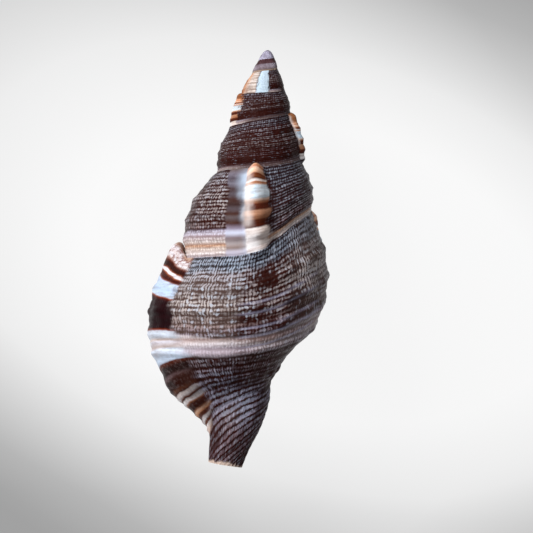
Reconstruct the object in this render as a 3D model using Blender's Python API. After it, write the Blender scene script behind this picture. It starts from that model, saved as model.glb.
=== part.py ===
"""Hairy triton shell (Monoplex pilearis), one natural piece, lying on its aperture.

The shell is one closed solid. Its outside is swept along a dextral spiral: every
growth angle has a section that runs from the suture (step 0) over the whorl to
the next suture (step 1) and, on the last whorl, on over the base and down the
canal to the tip (step 2). Angles are in degrees, 0 at the lip and falling towards
the apex; lengths are in millimetres, depths are measured down from the apex.
"""

import bpy
import numpy as np

# Growth angle, depth of the suture, its radius, bulge of the whorl below it, skew of the bulge.
SUTURE = np.array([
    (-2790, 0.02, 0.12, 0.02, 1.0),
    (-2430, 0.22, 0.60, 0.05, 1.0),
    (-2070, 1.05, 1.25, 0.15, 1.1),
    (-1890, 2.00, 1.65, 0.20, 1.1),
    (-1710, 3.20, 2.10, 0.25, 1.1),
    (-1530, 4.60, 2.65, 0.30, 1.1),
    (-1350, 6.70, 3.50, 0.40, 1.1),
    (-1260, 8.10, 4.20, 0.45, 1.2),
    (-1170, 9.40, 4.65, 0.45, 1.2),
    (-1080, 10.20, 5.00, 0.40, 1.2),
    (-900, 12.80, 5.80, 0.60, 1.2),
    (-810, 15.20, 6.30, 0.90, 1.1),
    (-720, 17.90, 6.70, 1.20, 0.9),
    (-540, 22.40, 8.70, 1.30, 1.2),
    (-450, 25.60, 8.90, 2.60, 1.1),
    (-360, 27.40, 8.70, 3.20, 1.05),
    (-270, 30.20, 10.60, 3.60, 0.95),
    (-180, 33.40, 11.80, 3.30, 1.35),
    (-135, 37.00, 12.50, 3.50, 1.2),
    (-100, 43.00, 13.10, 3.40, 1.0),
    (-45, 45.70, 13.40, 3.60, 1.0),
    (0, 46.50, 13.50, 3.20, 1.0),
    (90, 52.00, 13.60, 3.60, 1.0),
    (180, 57.70, 15.30, 3.60, 1.0),
    (270, 65.40, 16.40, 3.60, 1.0),
    (360, 67.80, 17.00, 3.60, 1.0),
    (400, 69.40, 16.90, 3.60, 1.0),
])

# Base and canal of the last whorl: one row of depths and radii for each growth angle.
BASE_STEPS = np.array([1.0, 1.15, 1.3, 1.48, 1.65, 1.82, 2.0])
BASE_ANGLES = np.array([-360, -315, -270, -180, -90, 0, 45])
BASE_DEPTH = np.array([
    (46.5, 52.0, 58.0, 66.0, 74.0, 82.0, 89.6),
    (49.5, 54.5, 60.5, 68.0, 75.2, 82.2, 89.5),
    (52.0, 57.0, 63.0, 70.0, 76.5, 82.5, 89.6),
    (57.7, 63.7, 69.3, 75.0, 80.0, 85.0, 90.0),
    (65.4, 68.5, 71.7, 76.0, 80.6, 85.5, 89.7),
    (67.8, 71.5, 75.4, 78.8, 81.8, 85.6, 89.4),
    (69.8, 73.4, 76.8, 79.7, 82.6, 86.0, 89.4),
])
BASE_RADIUS = np.array([
    (13.5, 9.5, 6.0, 3.8, 2.8, 2.2, 1.9),
    (13.5, 9.8, 6.7, 4.5, 3.4, 2.7, 2.2),
    (13.6, 10.2, 7.4, 5.6, 4.8, 4.0, 2.8),
    (15.1, 10.1, 7.3, 7.1, 6.0, 4.4, 3.5),
    (16.4, 13.5, 9.6, 7.0, 6.1, 5.0, 3.8),
    (17.0, 15.0, 12.3, 8.4, 5.6, 4.4, 3.9),
    (16.8, 15.0, 12.6, 8.9, 6.0, 4.7, 3.9),
])

# Varices, old lips: growth angle, width towards the lip, width behind, height, lean per step.
VARICES = [
    (0, 45, 38, 1.7, 0),
    (-208, 16, 20, 1.7, 14),
    (-447, 13, 16, 2.1, 12),
    (-672, 14, 17, 1.4, 12),
    (-897, 14, 17, 1.1, 12),
    (-1092, 14, 17, 0.6, 12),
    (-1302, 14, 17, 0.5, 12),
    (-1527, 14, 17, 0.4, 12),
]
LIP = 37.5            # growth angle of the lip's edge
LIP_RISE = 3.4      # how far the lip climbs on to the whorl before it
LIP_SWELL = 1.2     # extra fullness of its shoulder

CORDS = 9           # spiral cords between one suture and the next
BASE_CORDS = 8      # and on the base and canal
CORD_HEIGHT = 0.32
STRONG_CORDS = (3 / 9, 5 / 9, 7 / 9, 9 / 9, 1.25)
STRONG_HEIGHT = 0.30
KNOB_HEIGHT = 0.40
KNOBS = 18          # knobs on a strong cord in one turn
GROWTH = 1.61       # every turn is this much larger than the one before

WALL = 1.1
LIP_WALL = 1.9
TEETH_HEIGHT = 0.75
FOLD_HEIGHT = 0.45
CORNER = 1.0625     # step of the cavity's upper corner on the whorl before
DEPTH_BODY = 215    # how far the cavity is followed inwards
DEPTH_CANAL = 110
CANAL_WRAP = 15     # how far the lip wraps round the canal

COLUMNS = 48        # in one turn
ROWS = [(-2070, 1), (-1440, 4), (-720, 8), (LIP, 18)]  # up to this angle, so many rows
BASE_ROWS = 16
CAVITY_COLUMNS = 24

REST_ROLL = -23.1    # turns that bring the three resting points on to the ground
REST_PITCH = -3.86


def curve(x, xs, ys):
    """Smooth curve through the stations: cubic pieces, each slope taken from the neighbours."""
    slope = np.gradient(ys, xs, axis=0)
    k = np.clip(np.searchsorted(xs, x, side="right") - 1, 0, len(xs) - 2)
    wide = xs[k + 1] - xs[k]
    s = np.clip((x - xs[k]) / wide, 0, 1)
    if ys.ndim > 1:
        wide, s = wide[..., None], s[..., None]
    return ((1 + 2 * s) * (1 - s) ** 2 * ys[k] + s * (1 - s) ** 2 * wide * slope[k]
            + s * s * (3 - 2 * s) * ys[k + 1] - s * s * (1 - s) * wide * slope[k + 1])


def ease(x, start, end):
    """0 before start, 1 after end, smooth between."""
    t = np.clip((x - start) / (end - start), 0, 1)
    return t * t * (3 - 2 * t)


def hump(x, ahead, behind):
    """Rounded ridge over x = 0, with its own width on either side."""
    t = np.clip(x / np.where(x > 0, ahead, behind), -1, 1)
    return 0.5 + 0.5 * np.cos(np.pi * t)


def axis_shift(depth):
    """The axis isn't quite straight: sideways shift at a depth."""
    return curve(depth, np.array([0, 12, 27, 50, 78, 84, 87, 91.0]),
                 np.array([0, 0.1, 0.4, 0, 0.2, 0, -0.43, -0.9]))


def profile(a, v):
    """Depth and radius of the smooth section, without cords or varices."""
    stations = curve(a, SUTURE[:, 0], SUTURE[:, 1:])
    below = curve(a + 360, SUTURE[:, 0], SUTURE[:, 1:])
    u = np.minimum(v, 1)
    bulge = stations[..., 2] * np.sin(np.pi * u ** stations[..., 3]) ** 0.85
    depth = stations[..., 0] * (1 - u) + below[..., 0] * u
    radius = stations[..., 1] * (1 - u) + below[..., 1] * u + bulge
    # Past step 1 the section follows the base and the canal.
    at = np.maximum(a, -360)
    row = np.clip(np.searchsorted(BASE_STEPS, v, side="right") - 1, 0, len(BASE_STEPS) - 2)
    wide = BASE_STEPS[row + 1] - BASE_STEPS[row]
    s = np.clip((v - BASE_STEPS[row]) / wide, 0, 1)
    past = []
    for table in (BASE_DEPTH, BASE_RADIUS):
        here = curve(at, BASE_ANGLES, table)
        slope = np.gradient(here, BASE_STEPS, axis=-1)

        def pick(values, j):
            return np.take_along_axis(values, j[..., None], -1)[..., 0]

        past.append((1 + 2 * s) * (1 - s) ** 2 * pick(here, row) + s * (1 - s) ** 2 * wide * pick(slope, row)
                    + s * s * (3 - 2 * s) * pick(here, row + 1) - s * s * (1 - s) * wide * pick(slope, row + 1))
    # It starts from the suture line and, deeper than one turn inside, winds on up and in.
    shrink = GROWTH ** (np.minimum(a + 360, 0) / 360)
    start_depth = curve(at, BASE_ANGLES, BASE_DEPTH[:, 0])
    start_radius = curve(at, BASE_ANGLES, BASE_RADIUS[:, 0]) * shrink
    base_depth = past[0] + (below[..., 0] - start_depth) * np.clip(2 - v, 0, 1)
    base_radius = past[1] * shrink + (below[..., 1] - start_radius) * np.clip(1 - (v - 1) / 0.4, 0, 1)
    return np.where(v > 1, base_depth, depth), np.where(v > 1, base_radius, radius)


def sculpture(a, v):
    """Height of the cords, knobs and varices, before the suture covers them."""
    crest = 0.5 + 0.5 * np.cos(2 * np.pi * np.where(v < 1, CORDS * v, BASE_CORDS * v))
    strong = sum(np.exp(-((v - c) / 0.05) ** 2) for c in STRONG_CORDS)
    knobs = 0.5 + 0.5 * np.cos(np.radians(a) * KNOBS)
    raised = 0.0
    for centre, ahead, behind, height, lean in VARICES:
        raised = raised + height * hump(a - centre + lean * (v - 0.3), ahead, behind)
    canal = ease(v, 1.3, 1.75)
    cords = CORD_HEIGHT * np.tanh(2.2 * crest) + strong * (STRONG_HEIGHT + KNOB_HEIGHT * knobs)
    size = GROWTH ** (np.minimum(a, 0) / 360)
    rough = 1 + 0.4 * hump(a - 10, 35, 40) - 0.55 * canal
    within = LIP - 360 + wrap(v) - a
    inside = np.where(v > 1, ease(within, -14, 2), 0)
    folds = FOLD_HEIGHT * (0.5 + 0.5 * np.cos(2 * np.pi * BASE_CORDS * v)) * hump(v - 1.4, 0.25, 0.25)
    folds = folds * (1 - ease(within, 12, 40))
    outside = size * (cords - 0.42) * rough + raised * (1 - 0.95 * canal)
    return outside * (1 - inside) + folds * inside


def wrap(v):
    """How far the section at step v is turned on, so that the lip wraps round the canal."""
    return CANAL_WRAP * ease(v, 1.2, 1.7)


def point(a, depth, radius):
    """Cylinder to room: the back of the shell is up, the apex towards +Y."""
    turn = np.radians(90 + a)
    return np.stack([axis_shift(depth) - radius * np.sin(turn), -depth, radius * np.cos(turn)], -1)


def outer(a, v):
    """Points of the outside; a suture follows the relief of the whorl before."""
    a, v = np.broadcast_arrays(np.asarray(a, float), np.asarray(v, float))
    depth, radius = profile(a, v)
    own = ease(v, 0, 0.14)
    radius = radius + sculpture(a, v) * own + sculpture(a - 360, np.ones_like(v)) * (1 - own)
    lip = hump(a - 12, 40, 38)
    depth = depth - LIP_RISE * lip * (v / 0.12) * np.exp(1 - v / 0.12)
    radius = radius + LIP_SWELL * lip * (v / 0.16) * np.exp(1 - v / 0.16)
    return point(a, depth, radius)


def lining(a, v):
    """Points of the cavity's outer wall: the smooth section, moved in along its normal."""
    a, v = np.broadcast_arrays(np.asarray(a, float), np.asarray(v, float))
    depth, radius = profile(a, v)
    on_depth, on_radius = profile(a, v + 0.004)
    back_depth, back_radius = profile(a, v - 0.004)
    run, rise = on_depth - back_depth, on_radius - back_radius
    length = np.hypot(run, rise)
    canal = ease(v, 1.5, 1.8)
    behind = LIP + wrap(v) - a
    near = 1 - ease(behind, 0, 25)
    wall = (WALL + (LIP_WALL - WALL) * near) * (1 - canal) + 0.9 * canal
    teeth = TEETH_HEIGHT * (0.5 + 0.5 * np.cos(2 * np.pi * CORDS * v)) * hump(7 - behind, 7, 9)
    wall = wall + teeth * ease(v, 0.15, 0.3) * (1 - ease(v, 1.25, 1.5))
    level = 1 - ease(v, 1.85, 2)
    return point(a, depth + wall * rise / length * level, radius - wall * run / length)


class Solid:
    """Vertices and triangles that are added strip by strip."""

    def __init__(self):
        self.points, self.faces = [], []

    def add(self, points):
        first = len(self.points)
        self.points.extend(np.atleast_2d(points))
        return list(range(first, len(self.points)))

    def face(self, *corners):
        if len(set(corners)) == 3:
            self.faces.append(corners)

    def strip(self, left, right):
        """Triangles between two lines of vertices that may differ in number."""
        def shares(line):
            p = np.array([self.points[i] for i in line])
            run = np.concatenate([[0], np.cumsum(np.linalg.norm(np.diff(p, axis=0), axis=1))])
            return run / run[-1]

        if len(left) == len(right):
            s, t = np.arange(len(left)), np.arange(len(right)) + 0.01
        else:
            s, t = shares(left), shares(right)
        i = j = 0
        while i < len(left) - 1 or j < len(right) - 1:
            if j == len(right) - 1 or (i < len(left) - 1 and s[i + 1] <= t[j + 1]):
                self.face(left[i], right[j], left[i + 1])
                i += 1
            else:
                self.face(left[i], right[j], right[j + 1])
                j += 1


def build():
    solid = Solid()
    last = round((LIP - SUTURE[0, 0]) / 360 * COLUMNS)
    first = last - COLUMNS
    angles = SUTURE[0, 0] + np.arange(last + 1) * 360 / COLUMNS

    # Outside, from suture to suture. The foot of one column is the head of the one a turn on.
    columns = []
    for i, a in enumerate(angles):
        rows = next(n for upto, n in ROWS if a <= upto)
        steps = np.arange(rows + 1) / rows
        if i < COLUMNS:
            line = solid.add(outer(a, steps))
        else:
            line = [columns[i - COLUMNS][-1]] + solid.add(outer(a, steps[1:]))
        columns.append(line)
        if i:
            solid.strip(columns[i - 1], line)

    # Base and canal of the last whorl. Its first column is also the edge of the inner wall.
    steps = np.linspace(CORNER, 2, BASE_ROWS)
    inner_edge = solid.add(outer(angles[first] + wrap(steps), steps))
    base = [[columns[first][-1]] + inner_edge]
    for i in range(first + 1, last + 1):
        base.append([columns[i][-1]] + solid.add(outer(angles[i] + wrap(steps), steps)))
    for left, right in zip(base, base[1:]):
        solid.strip(left, right)
    outer_lip = columns[last] + base[-1][1:]

    # Cavity: its inner wall is the whorl before and the columella, its outer wall the lining.
    inward = np.linspace(0, 1, CAVITY_COLUMNS + 1) ** 1.2
    lining_steps = np.concatenate([np.arange(1, 10) / 9 + 0.001, np.linspace(1, 2, 11)[1:]])
    inner, wall = [inner_edge], []
    for t in inward:
        reach = DEPTH_BODY + (DEPTH_CANAL - DEPTH_BODY) * ease(steps, 1.5, 1.9)
        if t:
            inner.append(solid.add(outer(LIP - 360 + wrap(steps) - reach * t, steps)))
            solid.strip(inner[-1], inner[-2])
        reach = DEPTH_BODY + (DEPTH_CANAL - DEPTH_BODY) * ease(lining_steps, 1.5, 1.9)
        wall.append([inner[-1][0]] + solid.add(lining(LIP + wrap(lining_steps) - reach * t, lining_steps)))
        if t:
            solid.strip(wall[-2], wall[-1])
    solid.strip(wall[-1], inner[-1])

    # Rounded edge of the lip, between the outside and the lining.
    out = np.array([solid.points[i] for i in outer_lip])
    into = np.array([solid.points[i] for i in wall[0]])
    share = np.linspace(0, 1, len(out))
    reach = np.linspace(0, 1, len(into))
    middle = (out + np.stack([np.interp(share, reach, into[:, k]) for k in range(3)], -1)) / 2
    middle += 0.5 * np.array([np.sin(np.radians(LIP)), 0, -np.cos(np.radians(LIP))])
    edge = [outer_lip[0]] + solid.add(middle[1:-1]) + [outer_lip[-1]]
    solid.strip(outer_lip, edge)
    solid.strip(edge, wall[0])

    # Tip of the canal: a rim beside the channel, and the cut end of the columella.
    tips = [line[-1] for line in base]
    split = round((360 - DEPTH_CANAL) / 360 * COLUMNS) - 1
    channel = [line[-1] for line in wall]
    core = [line[-1] for line in inner]
    solid.strip(channel[::-1], tips[split:])
    middle = solid.add(np.mean([solid.points[i] for i in core + tips[:split]], axis=0))[0]
    for i, j in zip(tips[:split], tips[1:split + 1]):
        solid.face(i, j, middle)
    for i, j in zip(core, core[1:]):
        solid.face(j, i, middle)
    solid.face(tips[split], channel[-1], core[-1])
    solid.face(tips[split], core[-1], middle)

    # Apex.
    top = solid.add(point(0.0, np.array(0.0), np.array(0.0)))[0]
    for i in range(COLUMNS):
        solid.face(columns[i + 1][0], columns[i][0], top)
    for i, j in zip(columns[0], columns[0][1:]):
        solid.face(i, j, top)
    return np.array(solid.points), solid.faces


def rest(points):
    """Lays the shell down on its aperture, centred over the origin."""
    roll, pitch = np.radians([REST_ROLL, REST_PITCH])
    about_y = np.array([(np.cos(roll), 0, np.sin(roll)), (0, 1, 0), (-np.sin(roll), 0, np.cos(roll))])
    about_x = np.array([(1, 0, 0), (0, np.cos(pitch), -np.sin(pitch)), (0, np.sin(pitch), np.cos(pitch))])
    points = points @ about_y.T @ about_x.T
    low, high = points.min(axis=0), points.max(axis=0)
    return points - [(low[0] + high[0]) / 2, (low[1] + high[1]) / 2, low[2]]


for old in list(bpy.data.objects):
    bpy.data.objects.remove(old)

vertices, triangles = build()
mesh = bpy.data.meshes.new("shell")
mesh.from_pydata((rest(vertices) / 1000).tolist(), [], triangles)
mesh.update()
shell = bpy.data.objects.new("shell", mesh)
bpy.context.scene.collection.objects.link(shell)

material = bpy.data.materials.new("shell_calcite")
material.use_nodes = True
look = material.node_tree.nodes["Principled BSDF"]
look.inputs["Base Color"].default_value = (0.11, 0.075, 0.06, 1)
look.inputs["Roughness"].default_value = 0.42
mesh.materials.append(material)
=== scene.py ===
"""Hairy triton shell, one natural piece, lying on its aperture with its back up.

Growth angles are in degrees, 0 on the last varix and falling towards the apex;
steps run from 0 at the suture over the whorl to 1 at the next suture and, on the
last whorl, on over the base and the canal to 2 at the tip. Lengths are in
millimetres until laid() turns them to metres.
"""

from collections import namedtuple
from types import SimpleNamespace
from functools import partial

import bpy
import numpy as np
from mathutils import Matrix, Vector


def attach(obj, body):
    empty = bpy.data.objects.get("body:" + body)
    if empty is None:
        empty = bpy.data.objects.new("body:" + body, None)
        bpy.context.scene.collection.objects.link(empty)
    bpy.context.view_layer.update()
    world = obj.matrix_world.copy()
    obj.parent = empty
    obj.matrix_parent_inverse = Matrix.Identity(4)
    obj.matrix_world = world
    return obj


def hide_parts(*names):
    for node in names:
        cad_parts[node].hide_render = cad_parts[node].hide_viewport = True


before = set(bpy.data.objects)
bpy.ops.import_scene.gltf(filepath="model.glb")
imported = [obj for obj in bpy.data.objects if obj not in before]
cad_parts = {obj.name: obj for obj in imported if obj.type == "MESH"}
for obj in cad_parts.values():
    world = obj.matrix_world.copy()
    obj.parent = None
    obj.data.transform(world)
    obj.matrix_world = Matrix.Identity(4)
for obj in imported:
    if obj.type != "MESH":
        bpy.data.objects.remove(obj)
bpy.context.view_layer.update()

# ---------------------------------------------------------------------------
# Outside of the shell: dense calcium carbonate, laid down at the lip and coiled
# to the right round a hollow axis. Nine spiral cords with finer threads between
# two sutures, knobs on the strong ones, and a varix for each pause in growth.
# ---------------------------------------------------------------------------

# Growth angle, depth of the suture, its radius, bulge of the whorl below it, skew of the bulge.
SUTURE = np.array([
    (-2790, 0.02, 0.12, 0.02, 1.0),
    (-2430, 0.22, 0.60, 0.05, 1.0),
    (-2070, 1.05, 1.25, 0.15, 1.1),
    (-1890, 2.00, 1.65, 0.20, 1.1),
    (-1710, 3.20, 2.10, 0.25, 1.1),
    (-1530, 4.60, 2.65, 0.30, 1.1),
    (-1350, 6.70, 3.50, 0.40, 1.1),
    (-1260, 8.10, 4.20, 0.45, 1.2),
    (-1170, 9.40, 4.65, 0.45, 1.2),
    (-1080, 10.20, 5.00, 0.40, 1.2),
    (-900, 12.80, 5.80, 0.60, 1.2),
    (-810, 15.20, 6.30, 0.90, 1.1),
    (-720, 17.90, 6.70, 1.20, 0.9),
    (-540, 22.40, 8.70, 1.30, 1.2),
    (-450, 25.60, 8.90, 2.60, 1.1),
    (-360, 27.40, 8.70, 3.20, 0.85),
    (-270, 30.20, 10.60, 3.60, 0.95),
    (-180, 33.40, 11.80, 3.50, 1.15),
    (-135, 37.00, 12.50, 3.50, 1.2),
    (-100, 43.00, 13.10, 3.40, 1.0),
    (-45, 45.70, 13.40, 3.60, 1.0),
    (0, 46.50, 13.50, 3.20, 1.0),
    (90, 52.00, 13.60, 3.60, 1.0),
    (180, 57.70, 15.30, 3.60, 1.0),
    (270, 65.40, 16.40, 3.60, 1.0),
    (360, 67.80, 17.00, 3.60, 1.0),
    (400, 69.40, 16.90, 3.60, 1.0),
])

# Base and canal of the last whorl: one row of depths and radii for each growth angle.
BASE_STEPS = np.array([1.0, 1.15, 1.3, 1.48, 1.65, 1.82, 2.0])
BASE_ANGLES = np.array([-360, -315, -270, -180, -90, 0, 45])
BASE_DEPTH = np.array([
    (46.5, 52.0, 58.0, 66.0, 74.0, 82.0, 89.6),
    (49.5, 54.5, 60.5, 68.0, 75.2, 82.2, 89.5),
    (52.0, 57.0, 63.0, 70.0, 76.5, 82.5, 89.6),
    (57.7, 63.7, 69.3, 75.0, 80.0, 85.0, 90.0),
    (65.4, 68.5, 71.7, 76.0, 80.6, 85.5, 89.7),
    (67.8, 71.5, 75.4, 78.8, 81.8, 85.6, 89.4),
    (69.8, 73.4, 76.8, 79.7, 82.6, 86.0, 89.4),
])
BASE_RADIUS = np.array([
    (13.5, 9.5, 6.0, 3.8, 2.8, 2.2, 1.9),
    (13.5, 9.8, 6.7, 4.5, 3.4, 2.7, 2.2),
    (13.6, 10.2, 7.4, 5.6, 4.8, 4.0, 2.8),
    (15.1, 10.1, 7.3, 7.1, 6.0, 4.4, 3.5),
    (16.4, 13.5, 9.6, 7.0, 6.1, 5.0, 3.8),
    (17.0, 15.0, 12.3, 8.4, 5.6, 4.4, 3.9),
    (16.8, 15.0, 12.6, 8.9, 6.0, 4.7, 3.9),
])

# Varices, old lips: growth angle, width towards the lip, width behind, height, lean per step, and
# how far it climbs on to the whorl before, against the last lip's own climb.
Varix = namedtuple("Varix", "angle ahead behind height lean climb")
VARICES = [Varix(*row) for row in (
    (0, 45, 38, 1.7, 0, 0),
    (-208, 12, 13, 1.3, 60, 0.0),
    (-449, 13, 15, 2.3, 12, 0.35),
    (-672, 13, 16, 1.7, 12, 0.15),
    (-887, 14, 17, 1.2, 12, 0.1),
    (-1096, 26, 24, 0.7, 12, 0.1),
    (-1310, 20, 20, 0.4, 8, 0),
    (-1520, 24, 24, 0.25, 8, 0),
)]
LIP = 37.5            # growth angle of the lip's edge
CLIMB = 5.0           # how far the lip climbs on to the whorl before it
SWELL = 1.2           # extra fullness of its shoulder
CANAL_WRAP = 15       # how far the lip wraps round the canal
GROWTH = 1.61         # every turn is this much larger than the one before
THREADS, BASE_THREADS = 24, 34    # spiral threads between two sutures, and on the base and canal
FAN = 0.77            # how fast the threads of the base spread towards the lip
FINE_PITCH = 0.70     # growth threads across the cords, from one to the next
FINE_LEAN = 1.5       # how many of their own pitches they lean over one whorl
CORD_HEIGHT, CORD_FLATNESS = 0.24, 2.2
STRONG_CORDS = (3 / 9, 5 / 9, 7 / 9, 9 / 9, 1.25)
STRONG_WIDTH, STRONG_HEIGHT = 0.05, 0.30
KNOBS, KNOB_HEIGHT = 18, 0.40     # knobs on a strong cord in one turn
LOBE_WIDTH = 0.07     # of the lobes where a varix crosses the strong cords
MEAN_RELIEF = 0.38    # height of the sculpture that lies on the smooth section
FOLDS, FOLD_HEIGHT = 8, 0.45      # folds on the columella in one step
SCALLOPS = (1.30, 1.375, 1.43, 1.54, 1.62, 1.69)     # steps of the scallops on the foot of the lip
SCALLOP_WIDTH, SCALLOP_HEIGHT = 0.020, 0.5
UNEVEN_FINE, UNEVEN_SLOW = 0.22, 0.20
BULGE_POWER, VARIX_POWER = 0.85, 0.8      # below 1 they make the bulge and the varices fuller
FADE = (1.3, 1.75)    # steps between which the sculpture fades along the canal
SPIRE = -600          # growth angle where the older, finer whorls of the spire end

# Turn about Y, turn about X, and shift that lay the shell on the three points it rests on.
REST_ROLL, REST_PITCH = -23.1, -3.86
REST_SHIFT = (0.8696, 44.8786, 12.7817)


def cubic(s, wide, ends, slopes):
    """One cubic piece: its two ends and its slopes there, each weighted by a cube of the share s."""
    return ((1 + 2 * s) * (1 - s) ** 2 * ends[0] + s * (1 - s) ** 2 * wide * slopes[0]
            + s * s * (3 - 2 * s) * ends[1] - s * s * (1 - s) * wide * slopes[1])


def curve(x, xs, ys):
    """Smooth curve through stations: cubic pieces, with each slope taken from the neighbours."""
    slope = np.gradient(ys, xs, axis=0)
    k = np.clip(np.searchsorted(xs, x, side="right") - 1, 0, len(xs) - 2)
    wide = xs[k + 1] - xs[k]
    s = np.clip((x - xs[k]) / wide, 0, 1)
    if ys.ndim > 1:
        wide, s = wide[..., None], s[..., None]
    return cubic(s, wide, (ys[k], ys[k + 1]), (slope[k], slope[k + 1]))


def between(x, stations):
    """Straight lines between stations, given as places and their values."""
    return np.interp(x, list(stations), list(stations.values()))


def ease(x, start, end):
    """0 before start, 1 after end, and three times the square less twice the cube between."""
    t = np.clip((x - start) / (end - start), 0, 1)
    return t * t * (3 - 2 * t)


def window(x, start, end, soft):
    """1 between start and end, 0 outside, eased over soft on either side of both."""
    return ease(x, start - soft, start + soft) * (1 - ease(x, end - soft, end + soft))


def wave(x):
    """Cosine wave from 0 to 1, with a crest at every whole number."""
    return 0.5 + 0.5 * np.cos(2 * np.pi * x)


def bell(x, width):
    """Bell curve over 0: e to minus the square of x over the width."""
    return np.exp(-(x / width) ** 2)


def hump(x, ahead, behind):
    """Rounded ridge over 0: half a cosine wave down to nothing, at its own distance on either side."""
    return wave(np.clip(x / np.where(x > 0, ahead, behind), -1, 1) / 2)


def drift(x, y, seed):
    """Smooth random field from 0 to 1: random heights at whole x and y, eased between the nearest four."""
    heights = np.random.default_rng(seed).random((512, 128))
    i, j = np.floor(x).astype(int), np.floor(y).astype(int)
    s, t = ease(x - i, 0, 1), ease(y - j, 0, 1)
    near, far = [heights[i % 512, k % 128] * (1 - s) + heights[(i + 1) % 512, k % 128] * s
                 for k in (j, j + 1)]
    return near * (1 - t) + far * t


def axis_shift(depth):
    """Sideways shift of the axis at a depth, because a real shell isn't quite straight."""
    return curve(depth, np.array([0, 12, 27, 50, 78, 84, 87, 91.0]),
                 np.array([0, 0.1, 0.4, 0, 0.2, 0, -0.43, -0.9]))


def wrap(v):
    """How far the section at step v is turned on, so that the lip wraps round the canal."""
    return CANAL_WRAP * ease(v, 1.2, 1.7)


def profile(a, v):
    """Depth and radius of the smooth section: a straight line from suture to suture plus the bulge,
    a sine of the skewed step; past step 1, cubic pieces through the base and canal stations."""
    stations = curve(a, SUTURE[:, 0], SUTURE[:, 1:])
    below = curve(a + 360, SUTURE[:, 0], SUTURE[:, 1:])
    u = np.minimum(v, 1)
    bulge = stations[..., 2] * np.sin(np.pi * u ** stations[..., 3]) ** BULGE_POWER
    depth = stations[..., 0] * (1 - u) + below[..., 0] * u
    radius = stations[..., 1] * (1 - u) + below[..., 1] * u + bulge
    at = np.maximum(a, BASE_ANGLES[0])
    row = np.clip(np.searchsorted(BASE_STEPS, v, side="right") - 1, 0, len(BASE_STEPS) - 2)
    wide = BASE_STEPS[row + 1] - BASE_STEPS[row]
    s = np.clip((v - BASE_STEPS[row]) / wide, 0, 1)
    past_suture = []
    for table in (BASE_DEPTH, BASE_RADIUS):
        here = curve(at, BASE_ANGLES, table)
        ends, slopes = [[np.take_along_axis(values, (row + j)[..., None], -1)[..., 0] for j in (0, 1)]
                        for values in (here, np.gradient(here, BASE_STEPS, axis=-1))]
        past_suture.append(cubic(s, wide, ends, slopes))
    shrink = GROWTH ** (np.minimum(a + 360, 0) / 360)
    start_depth = curve(at, BASE_ANGLES, BASE_DEPTH[:, 0])
    start_radius = curve(at, BASE_ANGLES, BASE_RADIUS[:, 0]) * shrink
    base_depth = past_suture[0] + (below[..., 0] - start_depth) * np.clip(2 - v, 0, 1)
    joined = np.clip(1 - (v - 1) / 0.4, 0, 1)
    base_radius = past_suture[1] * shrink + (below[..., 1] - start_radius) * joined
    return np.where(v > 1, base_depth, depth), np.where(v > 1, base_radius, radius)


def threads_down(a, v):
    """Spiral threads counted down from the suture. On the base they fan out: their number per step
    falls as an exponential of the growth angle, so that they run down towards the lip."""
    spread = np.exp(-FAN * np.clip((a + 180) / 180, -0.3, 1))
    return np.where(v < 1, THREADS * v, THREADS + BASE_THREADS * spread * (v - 1))


def ahead_of(lip, a, v):
    """How far a growth angle is ahead of a varix, whose crest leans by lean degrees in a step."""
    return a - lip.angle + lip.lean * (v - 0.3)


def varix(a, v):
    """Height of the varices: for each a hump across its width, with a lobe on every strong cord."""
    lobes = sum(bell(v - c, LOBE_WIDTH) for c in (0.05, *STRONG_CORDS[:3]))
    raised = 0.0
    for lip in VARICES:
        ridge = hump(ahead_of(lip, a, v), lip.ahead, lip.behind) ** VARIX_POWER
        lobed = 0.78 + (0.42 if lip.angle > SPIRE else 0.18) * lobes
        raised = raised + lip.height * ridge * (1 if lip.angle == 0 else lobed)
    return raised * (1 - 0.95 * ease(v, *FADE))


def relief(a, v):
    """Height of the sculpture: cords as flattened cosine waves two threads wide, stronger cords with
    knobs, scallops on the foot of the lip, folds on the inner side, and a slow random drift."""
    crest = wave((threads_down(a, v) - 1.5) / 2)
    strong = sum(bell(v - c, STRONG_WIDTH) for c in STRONG_CORDS)
    cords = CORD_HEIGHT * np.tanh(CORD_FLATNESS * crest)
    cords = cords + strong * (STRONG_HEIGHT + KNOB_HEIGHT * wave(a * KNOBS / 360)) - MEAN_RELIEF
    smoother = 1 - 0.35 * hump(a - 10, 35, 50) - 0.6 * ease(v, *FADE)
    within = LIP - 360 + wrap(v) - a
    inside = np.where(v > 1, ease(within, -14, 2), 0)
    folds = FOLD_HEIGHT * wave(FOLDS * v) * hump(v - 1.4, 0.25, 0.25) * (1 - ease(within, 12, 40))
    scallops = sum(bell(v - 0.0023 * np.minimum(a, 0) - c, SCALLOP_WIDTH) for c in SCALLOPS)
    uneven = SCALLOP_HEIGHT * scallops * hump(a - 18, 25, 45)
    uneven = uneven + UNEVEN_FINE * (drift(a / 5 + 600, 7 * v, 1) - 0.5)
    uneven = uneven + UNEVEN_SLOW * (drift(a / 17 + 300, 3 * v, 2) - 0.5)
    size = GROWTH ** (np.minimum(a, 0) / 360)
    return size * (cords * smoother + uneven) * (1 - inside) + folds * inside


def point(a, depth, radius):
    """Cylinder to room: depth runs down from the apex, and the back of the shell is up."""
    turn = np.radians(90 + a)
    return np.stack([axis_shift(depth) - radius * np.sin(turn), -depth, radius * np.cos(turn)], -1)


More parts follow.
